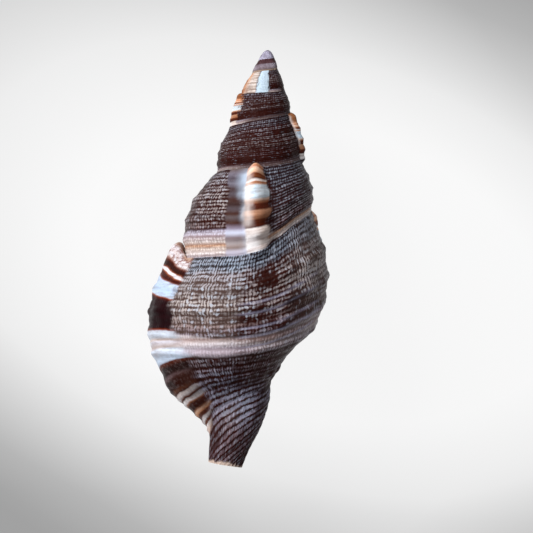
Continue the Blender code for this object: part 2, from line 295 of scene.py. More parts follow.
def outer(a, v):
    """Outside of the shell: the profile plus its relief. Near a suture the relief of the whorl before
    takes over, and near the lip the top of the whorl climbs and swells as t times e to the 1 - t."""
    a, v = np.broadcast_arrays(np.asarray(a, float), np.asarray(v, float))
    depth, radius = profile(a, v)
    climbing = hump(a - 12, 40, 38)
    for lip in VARICES[1:]:
        climbing = climbing + lip.climb * hump(ahead_of(lip, a, v), lip.ahead, lip.behind)
    foot = np.ones_like(v)
    for height, soon in ((relief, 0.14), (varix, 0.11)):
        own = ease(v, 0, soon)
        radius = radius + height(a, v) * own + height(a - 360, foot) * (1 - own)
    depth = depth - CLIMB * climbing * (v / 0.05) * np.exp(1 - v / 0.05)
    radius = radius + SWELL * climbing * (v / 0.12) * np.exp(1 - v / 0.12)
    return point(a, depth, radius)


def laid(points):
    """Millimetres to metres, turned about Y and then X and shifted on to the ground."""
    roll, pitch = np.radians([REST_ROLL, REST_PITCH])
    about_y = np.array([(np.cos(roll), 0, np.sin(roll)), (0, 1, 0), (-np.sin(roll), 0, np.cos(roll))])
    about_x = np.array([(1, 0, 0), (0, np.cos(pitch), -np.sin(pitch)), (0, np.sin(pitch), np.cos(pitch))])
    return (points @ about_y.T @ about_x.T + REST_SHIFT) / 1000


def squares(ids, flip=False):
    """Four-cornered faces between the neighbouring lines of a grid of vertex numbers."""
    sides = [ids[:-1, :-1], ids[:-1, 1:], ids[1:, 1:], ids[1:, :-1]]
    return np.stack(sides[::-1] if flip else sides, -1).reshape(-1, 4)


def zipped(left, right):
    """Triangles between two lines that differ in number: their shares of the way along are sorted
    into one list, and each step takes the side that comes next."""
    m, n = len(left) - 1, len(right) - 1
    share = np.concatenate([np.arange(1, m + 1) / m, np.arange(1, n + 1) / n + 1e-6])
    on_left = np.concatenate([np.ones(m, int), np.zeros(n, int)])[np.argsort(share)]
    i, j = np.cumsum(on_left) - on_left, np.cumsum(1 - on_left) - (1 - on_left)
    third = np.where(on_left == 1, left[np.minimum(i + 1, m)], right[np.minimum(j + 1, n)])
    return np.stack([left[i], right[j], third], -1)


def fan(line, hub):
    """Triangles from each stretch of a line of vertex numbers to one vertex."""
    return np.stack([line[:-1], line[1:], np.full(len(line) - 1, hub)], -1)


def skin(name, points, faces, same, maps, marks):
    """Mesh from whole arrays. same gives, for each vertex, the one it is welded to; maps and marks
    are the UV maps and values that each face corner takes from its own, unwelded vertex."""
    corners = np.concatenate([f.ravel() for f in faces])
    sizes = np.concatenate([np.full(len(f), f.shape[1]) for f in faces])
    used, index = np.unique(same[corners], return_inverse=True)
    mesh = bpy.data.meshes.new(name)
    mesh.vertices.add(len(used))
    mesh.vertices.foreach_set("co", points[used].ravel())
    mesh.loops.add(len(corners))
    mesh.loops.foreach_set("vertex_index", index.astype(np.int32))
    mesh.polygons.add(len(sizes))
    mesh.polygons.foreach_set("loop_start", (np.cumsum(sizes) - sizes).astype(np.int32))
    mesh.polygons.foreach_set("use_smooth", np.ones(len(sizes), bool))
    mesh.update(calc_edges=True)
    for key, uv in maps.items():
        mesh.uv_layers.new(name=key).uv.foreach_set("vector", uv[corners].astype(np.float32).ravel())
    for key, value in marks.items():
        held = mesh.attributes.new(key, "FLOAT", "CORNER")
        held.data.foreach_set("value", value[corners].astype(np.float32))
    if mesh.validate():
        print(name, "had faces that Blender dropped")
    piece = bpy.data.objects.new(name, mesh)
    bpy.context.scene.collection.objects.link(piece)
    return piece


def thread_map(a, v):
    """UV map that counts threads: x counts growth threads by distance along the whorl, which is the
    sum of radius times turn over the pitch; y counts spiral threads."""
    at = np.arange(-2800, 60, 10.0)
    stations = curve(at, SUTURE[:, 0], SUTURE[:, 1:])
    pace = np.radians(10) * (stations[:, 1] + stations[:, 2]) / (FINE_PITCH * 1.12 ** (at / 360))
    count = np.interp(a, at, np.cumsum(pace)) + FINE_LEAN * np.minimum(v, 1) ** 2
    return np.stack([count, threads_down(a, v)], -1)


# Colours of the outside, from 0 to 1 and straight between the growth angles or steps that are given.
# Pale belt above a suture: the step where it starts, the step where it ends, and its strength.
BELT_FROM = {-2790: 0.86, -1180: 0.90, -900: 0.90, -740: 0.93, -700: 0.90, -560: 0.87, -470: 0.86,
             -440: 0.71, -360: 0.71, -173: 0.745, -143: 0.775, -110: 0.82, -80: 0.82, 0: 0.785}
BELT_TO = {-560: 1.1, -470: 0.955, -440: 1.1, -200: 1.1, -160: 0.97, -100: 1.01}
BELT_STRENGTH = {-2790: 0, -1590: 0, -1570: 0.8, -1440: 0.9, -1260: 0.15, -1150: 0.2, -1120: 0.9,
                 -1080: 0.9, -900: 0.15, -790: 0.15, -760: 0.5, -720: 0.5, -560: 0.85, -470: 0.9,
                 -445: 1.0, -360: 1.0, -300: 0.8, -180: 0.42, -125: 0.30, -100: 0.45, -80: 0.85, -50: 1.0}
SLATE = {-900: 0.2, -860: 0.5, -740: 0.2, -560: 0.4, -462: 0.6, -450: 0.0, -300: 0.3, -200: 0.3,
         -140: 0.5, -110: 0.9, -50: 0.95, -30: 0.7}
DUSKY = (-560, -465)      # growth angles of a stretch where the slate reaches far down
# Light of the cords on the whorls, and below the belt of the last one.
LIGHT = {-2790: 0.6, -1500: 0.56, -1180: 0.52, -900: 0.48, -760: 0.52, -720: 0.54, -560: 0.42,
         -500: 0.34, -462: 0.26, -455: 0.5, -440: 0.68, -360: 0.52, -300: 0.55, -180: 0.58,
         -150: 0.82, -128: 0.72, -118: 0.66, -90: 0.64, -84: 0.82, -40: 0.87}
LIGHT_BELOW = {-180: 0.28, -110: 0.42, -75: 0.58, -55: 0.6}
BEADS = {-2790: 0.6, -720: 0.6, -470: 0.7, -460: 0.7, -440: 0.6, -360: 0.8, -200: 0.9, -88: 0.9, -80: 1.0}
# Growth angle where the blocks of the lip start, and how far they fan out towards the edge.
LIP_START = {0: -32, 0.25: -35, 0.45: -35, 0.55: -37, 0.7: -37, 0.82: -42, 0.95: -46, 1.04: -48,
             1.15: -45, 1.3: -43, 1.41: -47, 1.49: -44, 1.56: -39, 1.65: -33, 1.7: -24}
LIP_FAN = {0: 0.05, 0.12: 0.075, 0.24: 0.125, 0.42: 0.10, 0.6: 0.04, 0.76: 0, 1.05: -0.10,
           1.3: -0.105, 1.6: -0.11}
# Varices of the last two whorls that show: growth angle, and where the white edge starts, as a share
# of the width ahead. In front of the upper one the shell is polished, and a bluish white sheen is
# painted over it.
EDGED, POLISHED = {-449: 0.28, -887: 0.58}, -449
# Width and strength, by step, of the painted sheen in front of the polished varix.
SHEEN_WIDTH = {0: 18, 0.17: 16, 0.3: 13, 0.4: 8, 0.7: 7}
SHEEN_STRENGTH = {0: 0.2, 0.05: 0.4, 0.08: 1.0, 0.16: 1.0, 0.20: 0.7, 0.26: 0.5, 0.29: 0.85, 0.35: 0.85,
                 0.38: 0.3, 0.41: 0.2, 0.45: 0.5, 0.58: 0.5, 0.62: 0.15, 0.70: 0.1, 0.74: 0.3}
LIGHT_LINES = {0.505: 0.6, 0.602: 0.5, 0.745: 0.5, 0.83: 0.9, 0.93: 0.5}    # on the last whorl


def varix_marks(at, v, ragged):
    """Blocks, white edge, polish, painted sheen in front and painted shade on the far side of the varices:
    windows across each one's width, with the borders moved by the lobes and by a ragged noise."""
    lobes = sum(bell(v - c, LOBE_WIDTH) for c in STRONG_CORDS[:3])
    start = between(v, LIP_START)
    soft = 4 + 8 * window(v, 0.8, 1.02, 0.05) + 3 * ease(v, 1.1, 1.2)
    blocks = ease(at + ragged, start - soft, start + soft)
    edge, polish, halo, flank = np.zeros((4, *v.shape))
    hind = 0.64 + 0.10 * ease(v, 0.05, 0.15) - 0.26 * ease(v, 0.5, 0.65) + 0.20 * lobes
    for lip in VARICES[1:-2]:
        off = ahead_of(lip, at, v) + ragged * (0.4 if lip.angle > -1000 else 1.6)
        here = window(off, -hind * lip.behind, 0.74 * lip.ahead, 0.10 * lip.ahead)
        blocks = np.maximum(blocks, here * (1 - ease(v, 1.05, 1.5)))
        if lip.angle in EDGED:
            near, far = EDGED[lip.angle], 0.76
            white = window(off, near * lip.ahead, far * lip.ahead, 0.6 * (far - near) * lip.ahead)
            edge = np.maximum(edge, 0.8 * white * window(v, 0.05, 0.68, 0.04))
        if lip.angle == POLISHED:
            polish = window(off, 8, 36 - 9 * ease(v, 0.05, 0.3), 1.0)
            end = 9 + between(v, SHEEN_WIDTH)
            # Painted sheen: bluish white, fading with the distance in front of the varix.
            halo = 0.8 * window(off, 8, end, 1) * (1 - ease(off, 9, end)) * between(v, SHEEN_STRENGTH)
        # Painted shade: the far side of each varix, behind its crest, is marked to be darkened.
        flank = np.maximum(flank, window(off, -30, -1, 4))
    # On the lip the painted shade lies behind its crest, on its foot past step 1.
    flank = np.where(at > -90, (1 - ease(at, -34, -8)) * ease(v, 1.0, 1.2), flank)
    return blocks, edge, polish, halo, flank


def cord_light(at, v):
    """How light the cords are: by growth angle on the whorls, then below the belt and on the canal,
    each eased into the next, and darker above the sutures of the spire. On the canal a painted
    highlight makes them lighter in a band along its middle, and they grow darker towards its tip."""
    light = between(at, LIGHT)
    below, canal = ease(v, 1.0, 1.04) * (1 - ease(v, 1.3, 1.5)), ease(v, 1.25, 1.5)
    light = light * (1 - below) + between(at, LIGHT_BELOW) * below
    light = light * (1 - canal)
    # Painted highlight: cords lighter in a band along the middle of the canal; all of the canal darker
    # towards its tip.
    light = light + (0.33 + 0.39 * window(at, -125, -55, 20)) * canal * (1 - 0.40 * ease(v, 1.62, 1.75))
    light = light + 0.3 * window(at, *DUSKY, 4) * window(v, 0.58, 0.85, 0.05)
    darker = 0.55 * (1 - ease(at, SPIRE - 40, SPIRE)) + 0.3 * (1 - ease(at, -1030, -1000))
    return light * (1 - darker * window(v, 0.62, 1.0, 0.06))


def markings(a, v):
    """Where each colour lies, from 0 to 1, over growth angle and step. On the varices: ridge is their
    blocks, lip the last one, edge the white edge, polish the shell in front, halo a bluish
    white sheen painted over that shell, flank the shade painted on the far side. On the
    whorls: band is the pale belt, slate the zone under a suture, light and beads the cords, with a
    highlight painted into light along the middle of the canal, fleck the worn beads and
    the glints painted on bead crests, lines and grid the light lines of the last whorl and the
    patches between, last and spire the newer and the older whorls, ribbed the canal, chipped its tip.
    Near the apex: tan, amber and patch are a coloured stretch, worn and tip the oldest whorls. stripe
    is the step at which a block's colour is read, so that the blocks of the lip fan out."""
    ragged = 6 * (drift(a / 4 + 400, 12 * v, 5) - 0.5) + 3 * (drift(a / 2 + 800, 30 * v, 8) - 0.5)
    at = np.minimum(a, LIP - 0.5)
    blocks, edge, polish, halo, flank = varix_marks(at, v, ragged)
    stripe = v + between(v, LIP_FAN) * np.clip(at, -70, 0) / 45 * ease(at, -110, -80)
    stripe = stripe - 0.16 * (at < SPIRE) - 0.045 * ease(at, -12, 5) * (1 - ease(v, 0.12, 0.2))
    blocks = np.where(at > -90, blocks * (1 - ease(stripe, 1.73, 1.77)), blocks)
    belt_edge = v + 0.03 * (drift(a / 9 + 400, 5 * v, 6) - 0.5)
    belt = window(belt_edge, between(at, BELT_FROM), between(at, BELT_TO), 0.012)
    slate_edge = v + 0.04 * (drift(a / 6 + 700, 6 * v, 7) - 0.5) - 0.16 * window(at, *DUSKY, 4)
    slate = 1 - ease(slate_edge, 0.11, 0.21)
    slate = np.maximum(slate, 0.55 * window(at, -575, -465, 6) * window(v, -0.1, 0.72, 0.08))
    beads = between(at, BEADS)
    beads = beads + (1 - beads) * (1 - ease(v, 0.15, 0.3)) * (at > -300)
    falling = 0.0013 * np.maximum(-at - 110, 0)
    lines = sum(depth * bell(v - c + falling, 0.009) for c, depth in LIGHT_LINES.items())
    broken_edge = v + 0.04 * (drift(a / 7 + 500, 9 * v, 9) - 0.5)
    return {"ridge": blocks, "lip": ease(at, -80, -75), "edge": edge, "polish": polish, "halo": halo,
            "flank": flank, "stripe": stripe,
            "band": belt * between(at, BELT_STRENGTH),
            "slate": slate * between(at, SLATE),
            "light": cord_light(at, v),
            "beads": beads * (1 - 0.8 * ease(v, 1.1, 1.4)),
            # Worn beads and painted glints: a few everywhere, more in one stretch of the last whorl.
            "fleck": 0.3 + 0.35 * window(at, -96, -48, 6) * window(v, 0.22, 0.72, 0.08),
            "lines": lines * window(at, -152, -88, 7),
            "grid": window(at, -168, -76, 12) * (1 - ease(v, 0.83, 0.86)),
            "last": ease(at, -330, -300), "spire": 1 - ease(at, SPIRE - 40, SPIRE),
            "ribbed": ease(v, 1.25, 1.5), "chipped": ease(broken_edge, 1.965, 1.985),
            "tan": window(at + ragged, -1505, -1425, 4) * (v < 1.5),
            "amber": ease(at + 2 * ragged, -1488, -1452),
            "patch": window(at + ragged * 1.5, -1540, -1508, 2.5) * (v < 1.5),
            "worn": (1 - ease(at, -1700, -1640)) * (1 - ease(v, 1.0, 1.01)),
            "tip": 1 - ease(at, -2080, -2060)}


COLUMNS = 330         # lines of vertices in one turn
TURN_ROWS = [72, 46, 30, 20, 14, 10, 6, 4]    # rows from suture to suture, from the last turn inwards
BASE_ROWS = 88        # rows on the base and canal


def closer(share):
    """Shares of a whorl's height drawn together at both sutures, by a sine wave over the share."""
    return share - 0.45 * np.sin(2 * np.pi * share) / (2 * np.pi)


angle_step = 360 / COLUMNS
first_column = int(np.ceil((SUTURE[0, 0] - (LIP - 360 * len(TURN_ROWS))) / angle_step))
steps_last = np.concatenate([closer(np.linspace(0, 1, TURN_ROWS[0] + 1)),
                             np.linspace(1, 2, BASE_ROWS + 1)[1:]])
grids, angles, steps, top = [], [], [], 0
for turn, rows in enumerate(TURN_ROWS):
    last_turn, innermost = turn == 0, turn == len(TURN_ROWS) - 1
    columns = np.arange(first_column if innermost else 0, COLUMNS + 1 if last_turn else COLUMNS)
    v_line = steps_last if last_turn else closer(np.linspace(0, 1, rows + 1))
    a_grid, v_grid = np.meshgrid(LIP - 360 * (turn + 1) + columns * angle_step, v_line, indexing="ij")
    grids.append(np.arange(top, top + a_grid.size).reshape(a_grid.shape))
    angles.append(a_grid.ravel())
    steps.append(v_grid.ravel())
    top += a_grid.size
angles, steps = np.concatenate([*angles, SUTURE[0, :1]]), np.concatenate([*steps, [0.5]])
same = np.arange(top + 1)
faces = [squares(grid) for grid in grids]
# Each turn is welded to the one after it: along its lower side, and where the newer turn starts.
for turn, (newer, older) in enumerate(zip(grids, grids[1:])):
    missing = COLUMNS - older.shape[0]
    same[older[:, -1]] = newer[missing:missing + older.shape[0], 0]
    faces.append(zipped(older[-1], newer[0, :TURN_ROWS[turn] + 1])[:, ::-1])
same[grids[0][-1, 0]] = grids[0][0, TURN_ROWS[0]]
faces.append(fan(np.concatenate([grids[-1][:, 0], grids[-2][:first_column + 1, 0]]), top))
faces.append(fan(grids[-1][0, ::-1], top))
angles = angles + wrap(steps)
points = outer(angles, steps)
points[top] = point(0.0, np.array(0.0), np.array(0.0))
maps = {"threads": thread_map(angles, steps), "growth": np.stack([angles / 360, steps / 2], -1)}
marks = markings(angles, steps)
outside = skin("shell_outside", laid(points), faces, same, maps, marks)


def pigment(code):
    """sRGB hex to the linear colour that a shader takes."""
    parts = np.array([int(code[i:i + 2], 16) for i in (1, 3, 5)]) / 255
    return (*np.where(parts <= 0.04045, parts / 12.92, ((parts + 0.055) / 1.055) ** 2.4), 1.0)


def fill(socket, value):
    """Gives an input another node's output, an sRGB hex colour or a value."""
    if isinstance(value, bpy.types.NodeSocket):
        socket.id_data.links.new(value, socket)
    else:
        socket.default_value = pigment(value) if isinstance(value, str) else value


def add_node(tree, kind, inputs=(), out=None, stops=(), **settings):
    """Adds one node, fills its inputs in use in turn, and gives its first output or the one named by
    out. stops are the places and the colours of a colour ramp."""
    made = tree.nodes.new("ShaderNode" + kind)
    for key, value in settings.items():
        setattr(made, key, value)
    for socket, value in zip([socket for socket in made.inputs if socket.enabled], inputs):
        fill(socket, value)
    for k, (place, code) in enumerate(dict(stops).items()):
        held = made.color_ramp.elements
        if k == 0:
            held.remove(held[1])
        stop = held.new(place) if k else held[0]
        stop.position, stop.color = place, pigment(code)
    return made.outputs[out] if out else next(socket for socket in made.outputs if socket.enabled)


def surface(name):
    """New material, the function that adds nodes to it, and its one shader."""
    made = bpy.data.materials.new(name)
    made.use_nodes = True
    return made, partial(add_node, made.node_tree), made.node_tree.nodes["Principled BSDF"]


# Shell surface: satin, dark red-brown shell under a worn net of grey threads, with white, tan and
# maroon blocks on each varix. The net is pale where the shell is worn and dark where it is fresh.
shell_skin, add, shader = surface("corded_shell")
COLOR, TINT = {"data_type": "RGBA"}, {"data_type": "RGBA", "blend_type": "MULTIPLY"}
TIMES, TIMES_PLUS = {"operation": "MULTIPLY"}, {"operation": "MULTIPLY_ADD"}
# Noise scales per metre, for features 3, 1.1, 1, 0.8 and 0.4 mm across.
WANDER, MOTTLE, SHAKE, SPECK, GRAIN = 330.0, 900.0, 1000.0, 1300.0, 2500.0
FINE_HEIGHT = 0.00014     # of the finest threads, in metres
room = add("TexCoord", out="Object")
mark = SimpleNamespace(**{key: add("Attribute", out="Fac", attribute_name=key) for key in marks})

# Slow wander of the threads and the colour bands, and a quicker shake of the threads alone.
bent = add("TexNoise", [room, WANDER, 3.0], out="Color")
bent = add("VectorMath", [bent, (0.5, 0.5, 0.5)], operation="SUBTRACT")
shaken = add("TexNoise", [room, SHAKE, 2.0], out="Color")
shaken = add("VectorMath", [shaken, (0.5, 0.5, 0.5)], operation="SUBTRACT")
threads = add("UVMap", uv_map="threads")
threads = add("VectorMath", [bent, (1.6, 0.8, 0.0), threads], **TIMES_PLUS)
threads = add("VectorMath", [shaken, (1.1, 0.22, 0.0), threads], **TIMES_PLUS)
onward, down = [add("SeparateXYZ", [threads], out=axis) for axis in "XY"]
drifted = add("SeparateXYZ", [bent], out="Z")
# Place in the colour bands: half the step, as the stops of the ramps give it.
place = add("Math", [mark.stripe, 0.5], **TIMES)
place = add("Math", [drifted, 0.012, place], **TIMES_PLUS)

# Cosine waves: spiral threads, growth threads across them, cords two threads wide, ribs of the canal.
ripples = []
for counted, turn, shift in ((down, 2 * np.pi, 0.0), (onward, 2 * np.pi, 0.0),
                             (down, np.pi, -1.5 * np.pi), (down, 1.45 * np.pi, 0.0)):
    ripple = add("Math", [counted, turn, shift], **TIMES_PLUS)
    ripple = add("Math", [ripple], operation="COSINE")
    ripples.append(add("Math", [ripple, 0.5, 0.5], **TIMES_PLUS))
spiral, across, cord_crest, rib_crest = ripples
cell = add("VectorMath", [threads, (0.5, 0.5, 0.0)], operation="ADD")
cell = add("VectorMath", [cell], operation="FLOOR")
chance = add("TexWhiteNoise", [cell], noise_dimensions="2D")
# Noise over the threads: streaks along the cords, bands along the growth lines, wear a thread wide,
# and rows a cord or two high.
patterns = []
for size, detail, roughness in (((0.08, 0.85, 0.0), 4.0, 0.65), ((0.22, 0.04, 0.0), 3.0, 0.6),
                                ((0.8, 1.1, 0.0), 3.0, 0.7), ((0.02, 0.33, 0.0), 2.0, 0.5)):
    stretched = add("VectorMath", [threads, size], **TIMES)
    patterns.append(add("TexNoise", [stretched, 1.0, detail, roughness]))
streak, axial, wear, rows = patterns

# Net of threads: spiral ones carry most of the light colour; growth threads cut it into beads, and
# every second spiral groove is the deep one between two cords. On the canal it turns into ribs.
beaded = add("Math", [axial, 2.2, -0.45], **TIMES_PLUS, use_clamp=True)
beaded = add("Math", [beaded, mark.beads], **TIMES)
gaps = add("Mix", [beaded, 0.6, across])
gaps = add("Math", [gaps, 0.85, 0.15], **TIMES_PLUS)
weave = add("Math", [beaded, 0.78], **TIMES)
row = add("Mix", [weave, spiral, 0.75])
net = add("Math", [row, gaps], **TIMES)
plain = add("Math", [cord_crest, 0.55, 0.5], **TIMES_PLUS)
sunk = add("Math", [mark.spire, 0.6], **TIMES)
deep = add("Mix", [sunk, plain, cord_crest])
shallow = add("Math", [mark.grid, 0.7], **TIMES)
deep = add("Mix", [shallow, deep, 0.9])
net = add("Math", [net, deep], **TIMES)
net = add("Math", [wear, 1.35, net], **TIMES_PLUS)
rib = add("Math", [rib_crest, 0.4], operation="POWER")
rib = add("Math", [across, 0.25, rib], **TIMES_PLUS)
rib = add("Math", [wear, 1.7, rib], **TIMES_PLUS)
rib = add("Math", [rib, -0.55], operation="ADD")
ribs_here = add("Math", [mark.ribbed, 0.8], **TIMES)
net = add("Mix", [ribs_here, net, rib])
lifted = add("Math", [mark.light, 0.14, -0.735], **TIMES_PLUS)
net = add("Math", [net, lifted], operation="ADD", use_clamp=True)
sharp = add("MapRange", [net, 0.13, 0.70], interpolation_type="SMOOTHSTEP")

# Seasons of growth, lighter or darker from one pause to the next.
season = add("Math", [onward, 0.17], **TIMES)
season = add("TexNoise", [season, 1.0, 2.0], noise_dimensions="1D")
season = add("MapRange", [season, 0.47, 0.53, -0.22, 0.18])
# Tiles one cord high between two growth pauses, each with its own wear.
tile = add("VectorMath", [threads, (0.21, 0.5, 0.0), (0.0, -0.25, 0.0)], **TIMES_PLUS)
tile = add("VectorMath", [tile], operation="FLOOR")
tile = add("TexWhiteNoise", [tile], noise_dimensions="2D")
# Wide patches between the light lines of the last whorl, one row of them at each grey.
level = add("SeparateXYZ", [add("UVMap", uv_map="growth")], out="Y")
level = add("Math", [drifted, 0.008, level], **TIMES_PLUS)
level = add("ValToRGB", [level], stops={
    0.0: "#202020", 0.07: "#404040", 0.147: "#606060", 0.252: "#808080", 0.301: "#a0a0a0",
    0.372: "#b8b8b8", 0.415: "#d0d0d0"})
level.node.color_ramp.interpolation = "CONSTANT"
block = add("Math", [onward, 0.21], **TIMES)
block = add("Math", [level, 5.3, block], **TIMES_PLUS)
block = add("Math", [block], operation="FLOOR")
block = add("CombineXYZ", [block, level])
block = add("TexWhiteNoise", [block], noise_dimensions="2D")
block = add("MapRange", [block, 0.44, 0.62, -0.85, 0.1])
block = add("Math", [block, mark.grid], **TIMES)

# Light of the threads: the sum of those patterns, each by its amount, over dark or dusty grooves.
rows = add("Math", [rows, -0.5], operation="ADD")
steep = add("Math", [mark.spire, 5.0, 3.4], **TIMES_PLUS)
shine = -2.05
for pattern, amount in ((streak, 3.6), (axial, 1.6), (chance, 0.9), (season, 1.0), (block, 1.0),
                        (tile, 1.0), (rows, steep)):
    shine = add("Math", [pattern, amount, shine], **TIMES_PLUS)
shine = add("Math", [shine, mark.light], **TIMES)
shine = add("Math", [shine, 0.03], operation="MAXIMUM")
cover = add("Math", [shine, sharp], **TIMES, use_clamp=True)
groove = add("Mix", [streak, "#140402", "#3a150f"], **COLOR)
dusty = add("MapRange", [mark.light, 0.66, 0.84, 0.0, 0.65])
groove = add("Mix", [dusty, groove, "#55443f"], **COLOR)
cord = add("ValToRGB", [place], stops={
    0.0: "#a7a3ab", 0.1: "#a09a9b", 0.2: "#b6aca8", 0.27: "#a39a98", 0.34: "#8f7d79",
    0.385: "#8a7d85", 0.5: "#a39aa0", 0.54: "#7c6c69", 0.62: "#857a80", 0.7: "#a3a9c2",
    0.8: "#999bb0", 0.92: "#94868c", 1.0: "#8f7f86"})
cord = add("Mix", [mark.light, "#6b5560", cord], **COLOR)
ground = add("Mix", [cover, groove, cord], **COLOR)

# Slate zone below a suture, and single beads in bluish white: partly worn beads, partly glints
# painted on the bead crests.
slate_color = add("Mix", [sharp, "#1d1c22", "#8b97a9"], **COLOR)
slate_part = add("Math", [streak, 1.2, 0.25], **TIMES_PLUS)
slate_part = add("Math", [mark.slate, slate_part], **TIMES, use_clamp=True)
# Bluish white beads: partly wear, partly painted glints.
bead_wear_and_glint = add("Math", [chance, 0.6, streak], **TIMES_PLUS)
bead_wear_and_glint = add("MapRange", [bead_wear_and_glint, 0.90, 1.02])
bead_wear_and_glint = add("Math", [bead_wear_and_glint, sharp], **TIMES)
bead_wear_and_glint = add("Math", [bead_wear_and_glint, mark.fleck], **TIMES)

# Pale band above the suture: lilac, white, tan and orange lines that follow the cords; and the thin
# light lines over it.
band_color = add("ValToRGB", [place], stops={
    0.345: "#a7a1b8", 0.37: "#cdcadb", 0.387: "#b3a3aa", 0.402: "#d2c6c8", 0.42: "#e2d6d1",
    0.437: "#bd9072", 0.452: "#e0cdc1", 0.472: "#efe8e6", 0.505: "#a99ba3"})
lilac = add("Math", [mark.last, 0.45], **TIMES)
band_color = add("Mix", [lilac, band_color, "#c4bac8"], **COLOR)
dull = add("Mix", [sharp, "#a9958f", "#ffffff"], **COLOR)
dull_part = add("MapRange", [mark.light, 0.66, 0.82, 0.7, 0.4])
band_color = add("Mix", [dull_part, band_color, dull], **TINT)
line_part = add("Math", [streak, 2.4, -0.45], **TIMES_PLUS, use_clamp=True)
line_part = add("Math", [line_part, mark.lines], **TIMES, use_clamp=True)

# Polished shell in front of a varix: unbroken bands, without the net of threads.
bands_in_front = add("ValToRGB", [place], stops={
    0.0: "#5f4f4c", 0.03: "#6b6470", 0.06: "#4d454e", 0.09: "#6b6773", 0.12: "#402f30",
    0.15: "#4f464d", 0.18: "#3c211c", 0.21: "#2e1614", 0.235: "#4d4247", 0.265: "#3a1c12",
    0.285: "#564a4c", 0.315: "#3e1f13", 0.345: "#84798a", 0.37: "#c3c6da", 0.4: "#7a6a6e",
    0.43: "#a39899", 0.455: "#94807a", 0.475: "#b3adbb", 0.5: "#a9a3b3"})
polish_part = add("Math", [axial, 1.2, 0.4], **TIMES_PLUS)
polish_part = add("Math", [mark.polish, polish_part], **TIMES, use_clamp=True)

# Oldest whorls, worn: a dark band, lilac-grey and tan on one, lilac white at the tip, and below them
# a stretch of cream and orange.
worn_color = add("ValToRGB", [place], stops={
    0.0: "#54383c", 0.1: "#5e4246", 0.14: "#a398a4", 0.24: "#b3a8b4", 0.34: "#94868c",
    0.38: "#b09a88", 1.0: "#b09a88"})
worn_color = add("Mix", [mark.tip, worn_color, "#c6c2da"], **COLOR)
worn_dark = add("MapRange", [axial, 0.35, 0.62])
worn_dark = add("Mix", [worn_dark, "#8f7a7c", "#ffffff"], **COLOR)
worn_color = add("Mix", [0.8, worn_color, worn_dark], **TINT)
cream = add("ValToRGB", [streak], stops={0.4: "#8f7c74", 0.48: "#cbb9ad", 0.58: "#e0d6d0"})
orange = add("ValToRGB", [axial], stops={0.35: "#8a4a26", 0.5: "#a8683c", 0.62: "#c98f66"})
tan_color = add("Mix", [mark.amber, cream, orange], **COLOR)
tan_color = add("Mix", [0.5, tan_color, worn_dark], **TINT)

# The pale blue #b9c9dd laid over below is the painted sheen in front of the polished varix.
for part, laid_over in ((slate_part, slate_color), (bead_wear_and_glint, "#aab4c4"), (mark.band, band_color),
                        (line_part, "#a9a9c6"), (polish_part, bands_in_front), (mark.halo, "#b9c9dd"),
                        (mark.worn, worn_color), (mark.tan, tan_color), (mark.patch, "#bfd1e0"),
                        (mark.chipped, "#cdb6a8")):
    ground = add("Mix", [part, ground, laid_over], **COLOR)

# Blocks on the old varices and on the lip.
old_varix = add("ValToRGB", [place], stops={
    0.0: "#94603f", 0.01: "#b08060", 0.014: "#a86a4c", 0.02: "#e3b092", 0.03: "#d39a78",
    0.036: "#b0684a", 0.042: "#f0cdb5", 0.058: "#e0b090", 0.062: "#7a3a20", 0.072: "#8a5030",
    0.08: "#54200f", 0.084: "#efe6e4", 0.09: "#efe6e4", 0.094: "#b8764e", 0.103: "#d9a888",
    0.11: "#cfe1f0", 0.18: "#cfe4f4", 0.188: "#e6d3c8", 0.2: "#b58a70", 0.21: "#8a5640",
    0.218: "#5a2a1c", 0.248: "#4e2014", 0.258: "#b58a70", 0.3: "#a06e52", 0.312: "#5a2a18",
    0.35: "#42180e", 0.36: "#e9e4e2", 0.385: "#cfc6c3", 0.405: "#efebeb", 0.43: "#d3cccc",
    0.455: "#efebeb", 0.53: "#e6e4e8"})
# Painted shade: the far side of each old varix is tinted darker.
old_varix = add("Mix", [mark.flank, old_varix, "#ebe1da"], **TINT)
lip_varix = add("ValToRGB", [place], stops={
    0.0: "#b09484", 0.012: "#dfdce4", 0.022: "#c4b4b2", 0.03: "#dcdde6", 0.036: "#cdbdb8",
    0.04: "#6e301c", 0.045: "#30100a", 0.058: "#2c0d08", 0.063: "#8a4a30", 0.067: "#e6e4ea",
    0.074: "#dcdde8", 0.078: "#9a5a3c", 0.083: "#42150e", 0.096: "#3a110b", 0.101: "#7a3a24",
    0.107: "#bccbe2", 0.145: "#adc0da", 0.181: "#c0d2e8", 0.185: "#9a4a24", 0.192: "#42100a",
    0.205: "#1e0408", 0.365: "#1a0307", 0.376: "#7a3018", 0.384: "#c8d0de", 0.42: "#cbd3e0",
    0.432: "#cbb8b0", 0.445: "#cfcdd8", 0.475: "#c0aea9", 0.49: "#cdd6e4", 0.552: "#c3d3e8",
    0.558: "#5a2412"})
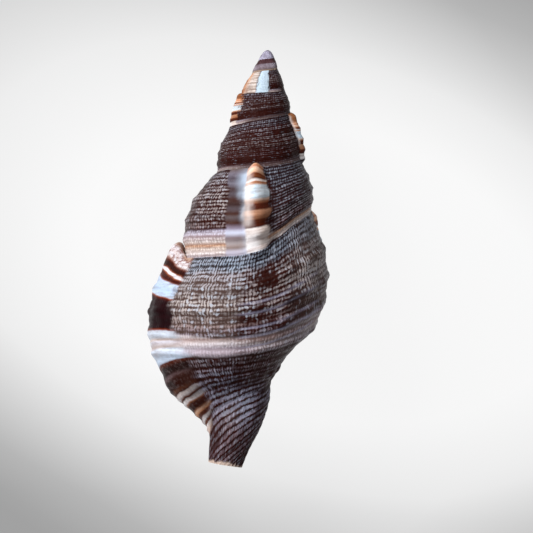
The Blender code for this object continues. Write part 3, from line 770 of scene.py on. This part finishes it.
# Below the pale band the lip is dark, then scalloped in white, tan and brown, a tooth at a time.
lip_foot = add("ValToRGB", [place], stops={
    0.56: "#5a2412", 0.572: "#3c160c", 0.58: "#1c0605", 0.602: "#1c0605", 0.612: "#5e4b4e",
    0.622: "#3a2220", 0.632: "#200806", 0.655: "#2e100b", 0.667: "#5f3826", 0.676: "#3a160c",
    0.681: "#e9dcd8", 0.693: "#f6f2f4", 0.698: "#7a4026", 0.703: "#3a140b", 0.708: "#f6f2f2",
    0.72: "#eee9ec", 0.725: "#a87050", 0.733: "#3c140b", 0.756: "#2a0c08", 0.763: "#8a5a40",
    0.768: "#e0b79c", 0.778: "#c9906c", 0.785: "#5a2c18", 0.8: "#4a2010", 0.807: "#e6dfe0",
    0.817: "#ece8ea", 0.822: "#6a3a22", 0.834: "#54281a", 0.84: "#e4dcdc", 0.85: "#e9d9d2",
    0.872: "#d9b8a6"})
specks = add("TexNoise", [room, SPECK, 3.0, 0.7])
specks = add("MapRange", [specks, 0.50, 0.66, 0.0, 0.30])
lip_foot = add("Mix", [specks, lip_foot, "#8d7f80"], **COLOR)
# Painted shade: the foot of the lip is darkened behind its crest.
foot_shade = add("Math", [mark.flank, 0.65], **TIMES)
lip_foot = add("Mix", [foot_shade, lip_foot, "#32150d"], **COLOR)
at_foot = add("Math", [place, 0.559], operation="GREATER_THAN")
lip_varix = add("Mix", [at_foot, lip_varix, lip_foot], **COLOR)
# Specks on the shoulder of the lip.
mottle = add("TexNoise", [room, MOTTLE, 3.0, 0.7])
mottle = add("MapRange", [mottle, 0.48, 0.60])
shoulder = add("MapRange", [place, 0.042, 0.036, 0.0, 0.85])
mottle = add("Math", [mottle, shoulder], **TIMES)
lip_varix = add("Mix", [mottle, lip_varix, "#7a4434"], **COLOR)
varix_color = add("Mix", [mark.lip, old_varix, lip_varix], **COLOR)
varix_tone = add("Math", [wear, 0.5], **TIMES)
varix_tone = add("Math", [streak, 1.5, varix_tone], **TIMES_PLUS)
varix_tone = add("MapRange", [varix_tone, 0.65, 1.1])
varix_tone = add("Mix", [varix_tone, "#b09a94", "#ffffff"], **COLOR)
varix_color = add("Mix", [0.8, varix_color, varix_tone], **TINT)
color = add("Mix", [mark.ridge, ground, varix_color], **COLOR)
margin = add("Math", [axial, 1.5, 0.1], **TIMES_PLUS)
margin = add("Math", [mark.edge, margin], **TIMES, use_clamp=True)
color = add("Mix", [margin, color, "#ded4d0"], **COLOR)
fill(shader.inputs["Base Color"], color)

# Relief of the threads, too fine for the mesh, and a dry, uneven gloss.
grain = add("TexNoise", [room, GRAIN, 2.0])
height = add("Math", [grain, 0.3, net], **TIMES_PLUS)
flat = add("Math", [mark.polish, mark.ridge], operation="MAXIMUM")
flat = add("Math", [flat, -0.7, 1.0], **TIMES_PLUS)
height = add("Math", [height, flat], **TIMES)
fill(shader.inputs["Normal"], add("Bump", [1.0, FINE_HEIGHT, 0.1, height]))
gloss = add("Math", [streak, 0.4, 0.16], **TIMES_PLUS)
fill(shader.inputs["Roughness"], gloss)
fill(shader.inputs["Specular IOR Level"], 0.03)
outside.data.materials.append(shell_skin)
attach(outside, "root")
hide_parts("shell")

# ---------------------------------------------------------------------------
# Mouth: the thickened lip with its teeth, the smooth lining behind it, and the
# inner wall, which is the glazed side of the whorl before and the folded
# columella. Glossy porcelain-like shell, orange-brown near the lip, white inside.
# ---------------------------------------------------------------------------

WALL, LIP_WALL, CANAL_WALL = 1.1, 1.9, 0.9
TEETH, TOOTH_HEIGHT = 9, 0.75     # teeth behind the lip in one step, and their height
CORNER = 1.0625       # step of the mouth's upper corner on the whorl before
REACH_BODY, REACH_CANAL = 215, 110    # how far the lining is followed inwards, in degrees
INWARD_ROWS, WALL_ROWS, EDGE_ROWS = 110, 64, 8
EDGE_BULGE, EDGE_THICK = 0.42, 2.2    # how round the lip's edge is, and up to what thickness
CLOUD, CLOUD_HEIGHT = 300.0, 0.0002   # noise scale for features 3.3 mm across, and their height, in metres


def lining(a, v):
    """Outer wall of the cavity: the smooth section moved in along its own normal by the thickness of
    the shell, which grows at the lip and carries a cosine wave of teeth under a short hump. At the
    tip of the canal it moves straight in, towards the axis."""
    a, v = np.broadcast_arrays(np.asarray(a, float), np.asarray(v, float))
    (depth, radius), *sides = [profile(a, v + apart) for apart in (0, 0.004, -0.004)]
    run, rise = sides[0][0] - sides[1][0], sides[0][1] - sides[1][1]
    canal = ease(v, 1.5, 1.8)
    behind = LIP + wrap(v) - a
    wall = (WALL + (LIP_WALL - WALL) * (1 - ease(behind, 0, 25))) * (1 - canal) + CANAL_WALL * canal
    teeth = TOOTH_HEIGHT * wave(TEETH * v) * hump(7 - behind, 7, 9)
    wall = wall + teeth * ease(v, 0.15, 0.3) * (1 - ease(v, 1.25, 1.5))
    length, level = np.hypot(run, rise), 1 - ease(v, 1.85, 2)
    return point(a, depth + wall * rise / length * level, radius - wall * run / length)


def reach(v):
    """How far in the cavity is followed at step v: less and less along the canal."""
    return REACH_BODY + (REACH_CANAL - REACH_BODY) * ease(v, 1.5, 1.9)


def blend(start, end, share):
    """Points on the straight line from start to end, at a share of the way."""
    return start * (1 - share[..., None]) + end * share[..., None]


inward = np.linspace(0, 1, INWARD_ROWS + 1) ** 1.2
t_wall, v_wall = np.meshgrid(inward, np.linspace(CORNER, 2, WALL_ROWS + 1), indexing="ij")
wall_points = outer(LIP - 360 + wrap(v_wall) - reach(v_wall) * t_wall, v_wall)
t_line, v_line = np.meshgrid(inward, steps_last, indexing="ij")
line_points = lining(LIP + wrap(v_line) - reach(v_line) * t_line, np.maximum(v_line, 0.02))
line_points = blend(wall_points[:, :1], line_points, ease(v_line, 0.0, 0.12))
share, v_edge = np.meshgrid(np.linspace(0, 1, EDGE_ROWS + 1), steps_last, indexing="ij")
edge_out, edge_in = outer(LIP + wrap(v_edge), v_edge), line_points[:1]
# The edge of the lip is rounded: it stands out past the lip's plane by a sine over its thickness.
thick = np.minimum(np.linalg.norm(edge_in - edge_out, axis=-1), EDGE_THICK)
standing = EDGE_BULGE * thick * np.sin(np.pi * share) * ease(v_edge, 0, 0.1) * (1 - ease(v_edge, 1.9, 2))
past_lip = np.array([np.sin(np.radians(LIP)), 0, -np.cos(np.radians(LIP))])
edge_points = blend(edge_out, edge_in, share) + standing[..., None] * past_lip

tips = outer(LIP - 360 + np.arange(COLUMNS + 1) * angle_step + wrap(np.array(2.0)), 2.0)
wall_count, line_count, edge_count = v_wall.size, v_line.size, v_edge.size
wall_ids = np.arange(wall_count).reshape(v_wall.shape)
line_ids = wall_count + np.arange(line_count).reshape(v_line.shape)
edge_ids = wall_count + line_count + np.arange(edge_count).reshape(v_edge.shape)
middle = wall_count + line_count + edge_count
tip_ids = middle + 1 + np.arange(COLUMNS + 1)
split = int(round((360 - REACH_CANAL) / 360 * COLUMNS))
core = wall_ids[:, -1]
hub = np.concatenate([wall_points[:, -1], tips[:split]]).mean(axis=0)
points = np.concatenate([wall_points.reshape(-1, 3), line_points.reshape(-1, 3),
                         edge_points.reshape(-1, 3), [hub], tips])
same = np.arange(len(points))
same[line_ids[:, 0]] = wall_ids[:, 0]
same[edge_ids[-1]] = same[line_ids[0]]
same[tip_ids[0]] = wall_ids[0, -1]
same[edge_ids[0, -1]] = tip_ids[-1]
faces = [squares(wall_ids), squares(line_ids, True), squares(edge_ids, True),
         zipped(line_ids[-1], wall_ids[-1]), zipped(line_ids[::-1, -1], tip_ids[split:])[:, ::-1],
         fan(tip_ids[:split + 1], middle), fan(core[::-1], middle),
         np.array([(tip_ids[split], line_ids[-1, -1], core[-1]), (tip_ids[split], core[-1], middle)])]


def by_part(*values):
    """One value for each vertex, from those of the wall, the lining, the edge, the hub and the tip."""
    sizes = (wall_count, line_count, edge_count, 1, COLUMNS + 1)
    return np.concatenate([np.broadcast_to(np.ravel(value), size) for value, size in zip(values, sizes)])


steps = by_part(v_wall, v_line, v_edge, 2.0, 2.0)
inside_by = by_part(reach(v_wall) * t_wall, reach(v_line) * t_line, 0, 20.0, 0)
maps = {"growth": np.stack([inside_by / 360, steps / 2], -1)}
marks = {"depth": inside_by / 100, "wall": by_part(1, 0, 0, 1, 1), "rim": by_part(0, 0, 1 - share, 0, 0)}
mouth = skin("shell_mouth", laid(points), faces, same, maps, marks)

# Glaze: smooth, glossy shell. Colour runs from orange-brown at the lip to white within a quarter of
# a turn, with pale teeth, pale folds on a brown columella, and the blocks of the lip on its edge.
glaze, add, shader = surface("glazed_shell")
room = add("TexCoord", out="Object")
step = add("SeparateXYZ", [add("UVMap", uv_map="growth")], out="Y")
depth, wall, rim = [add("Attribute", out="Fac", attribute_name=key) for key in marks]
cloud = add("TexNoise", [room, CLOUD, 4.0])
fade = add("Math", [cloud, 0.25, depth], **TIMES_PLUS)
inside = add("ValToRGB", [fade], stops={
    0.1: "#b9774f", 0.22: "#c98f68", 0.35: "#dfc3ae", 0.8: "#e9e2dd"})
ripples = []
for count, height, lift in ((2 * TEETH, 0.8, -0.1), (2 * FOLDS, 0.9, 0.1)):
    ripple = add("Math", [step, 2 * np.pi * count], **TIMES)
    ripple = add("Math", [ripple], operation="COSINE")
    ripples.append(add("Math", [ripple, height, lift], **TIMES_PLUS, use_clamp=True))
teeth, folds = ripples
teeth_part = add("MapRange", [depth, 0.30, 0.10])
teeth_part = add("Math", [teeth_part, teeth], **TIMES)
inside = add("Mix", [teeth_part, inside, "#f0e6dc"], **COLOR)
columella = add("Mix", [folds, "#5a2a18", "#e6cdb9"], **COLOR)
deep = add("MapRange", [depth, 0.2, 0.7])
columella = add("Mix", [deep, columella, "#e6dcd4"], **COLOR)
color = add("Mix", [wall, inside, columella], **COLOR)
place = add("Math", [cloud, 0.010, step], **TIMES_PLUS)
rim_color = add("ValToRGB", [place], stops={
    0.0: "#d9b3a0", 0.09: "#54200f", 0.12: "#e3e1e6", 0.15: "#6a2c18", 0.17: "#dfe6f0",
    0.215: "#dfe6f0", 0.225: "#7a3820", 0.38: "#6a2c18", 0.395: "#ece9ea", 0.545: "#ece9ea",
    0.555: "#6e341f", 0.64: "#7a3a22", 0.655: "#ece4e0", 0.67: "#8a4c30", 0.685: "#ece4e0",
    0.7: "#8a4c30", 0.72: "#ece4e0", 0.74: "#9a5c3e", 0.76: "#ece4e0", 0.85: "#d9c4b6"})
color = add("Mix", [rim, color, rim_color], **COLOR)
fill(shader.inputs["Base Color"], color)
fill(shader.inputs["Normal"], add("Bump", [0.3, CLOUD_HEIGHT, 0.1, cloud]))
fill(shader.inputs["Roughness"], 0.22)
mouth.data.materials.append(glaze)
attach(mouth, "root")
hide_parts("shell")

# ---------------------------------------------------------------------------
# Table and light: a plain pale sheet, a large soft lamp over the upper left, a
# weak one opposite, and even light from all round.
# ---------------------------------------------------------------------------

SHEET, SHEET_BELOW = 0.9, 0.00005     # half its width, and how far it lies under the shell
BACKLIGHT = 0.9       # share of its brightness that comes from behind it, where the camera sees it
across_sheet, along_sheet = np.meshgrid(*[np.linspace(-SHEET, SHEET, 3)] * 2, indexing="ij")
flat = np.stack([across_sheet, along_sheet, np.full((3, 3), -SHEET_BELOW)], -1).reshape(-1, 3)
floor = skin("floor", flat, [squares(np.arange(9).reshape(3, 3), True)], np.arange(9), {}, {})
# White paper, matt. Seen by the camera it is lit from behind, brightest under the shell; the light
# falls off with the distance from there, faster in two corners and below.
paper, add, shader = surface("white_paper")
fill(shader.inputs["Roughness"], 0.8)
fill(shader.inputs["Base Color"], "#e8e8e8")
seen = add("Math", [add("LightPath", out=f"Is {ray} Ray") for ray in ("Camera", "Glossy")],
           operation="MAXIMUM")
seen = add("Math", [seen, BACKLIGHT], **TIMES)
room = add("TexCoord", out="Object")
far = add("VectorMath", [room, (0.7, 1.15, 0.0), (-0.0175, 0.0023, 0.0)], **TIMES_PLUS)
far = add("VectorMath", [far], operation="LENGTH")
aside, ahead = [add("SeparateXYZ", [room], out=axis) for axis in "XY"]
corner = add("Math", [aside, ahead], **TIMES)
corner = add("MapRange", [corner, -0.0032, 0.0032, -0.0128, 0.0128])
far = add("Math", [far, corner], operation="ADD")
below = add("MapRange", [ahead, -0.02, -0.056, 0.0, 0.010])
far = add("Math", [far, below], operation="ADD")
backlit = add("ValToRGB", [far], stops={
    0.04: "#fdfdfd", 0.058: "#f0f0f0", 0.072: "#d4d4d4", 0.086: "#b2b2b2", 0.1: "#9a9a9a"})
both = add("MixShader", [seen, shader.outputs[0], add("Emission", [backlit, 1.0])])
fill(paper.node_tree.nodes["Material Output"].inputs["Surface"], both)
floor.data.materials.append(paper)

world = bpy.data.worlds.new("even_light")
world.use_nodes = True
sky = world.node_tree.nodes["Background"]
fill(sky.inputs["Color"], "#f4f6fa")
fill(sky.inputs["Strength"], 0.28)
bpy.context.scene.world = world

# The shell's own directions in the room: out of its back, towards its apex, and to its right.
out_of_back, to_apex, to_right = [laid(1000.0 * np.array(way)) - laid(np.zeros(3))
                                  for way in ((0, 0, 1), (0, 1, 0), (1, 0, 0))]
MIDDLE = laid(np.array([3.972, -46.44, 0.0]))
for name, direction, distance, size, power in (
        ("window_light", -0.75 * to_right + 0.55 * to_apex + 0.95 * out_of_back, 0.7, 0.30, 6.2),
        ("room_light", 0.9 * to_right - 0.2 * to_apex + 0.8 * out_of_back, 0.9, 0.5, 0.8)):
    lamp = bpy.data.lights.new(name, "AREA")
    lamp.size, lamp.energy = size, power
    held = bpy.data.objects.new(name, lamp)
    held.location = MIDDLE + direction / np.linalg.norm(direction) * distance
    held.rotation_mode = "QUATERNION"
    held.rotation_quaternion = Vector(direction).to_track_quat("Z", "Y")
    bpy.context.scene.collection.objects.link(held)

# Camera: a long lens over the shell's back, turned so that the apex leans to the right.
LEAN = np.radians(5.285)
VIEW_DISTANCE, VIEW_WIDTH = 0.7, 0.11476
view = bpy.data.cameras.new("view")
view.lens, view.sensor_width = 36 * VIEW_DISTANCE / VIEW_WIDTH, 36
view.clip_start, view.clip_end = 0.01, 20
camera = bpy.data.objects.new("view", view)
picture_up = to_apex * np.cos(LEAN) - to_right * np.sin(LEAN)
picture_right = to_right * np.cos(LEAN) + to_apex * np.sin(LEAN)
turned = np.eye(4)
turned[:3] = np.stack([picture_right, picture_up, out_of_back, MIDDLE + out_of_back * VIEW_DISTANCE], -1)
camera.matrix_world = Matrix(turned.tolist())
bpy.context.scene.collection.objects.link(camera)
bpy.context.scene.camera = camera
bpy.context.scene.view_settings.view_transform = "Standard"
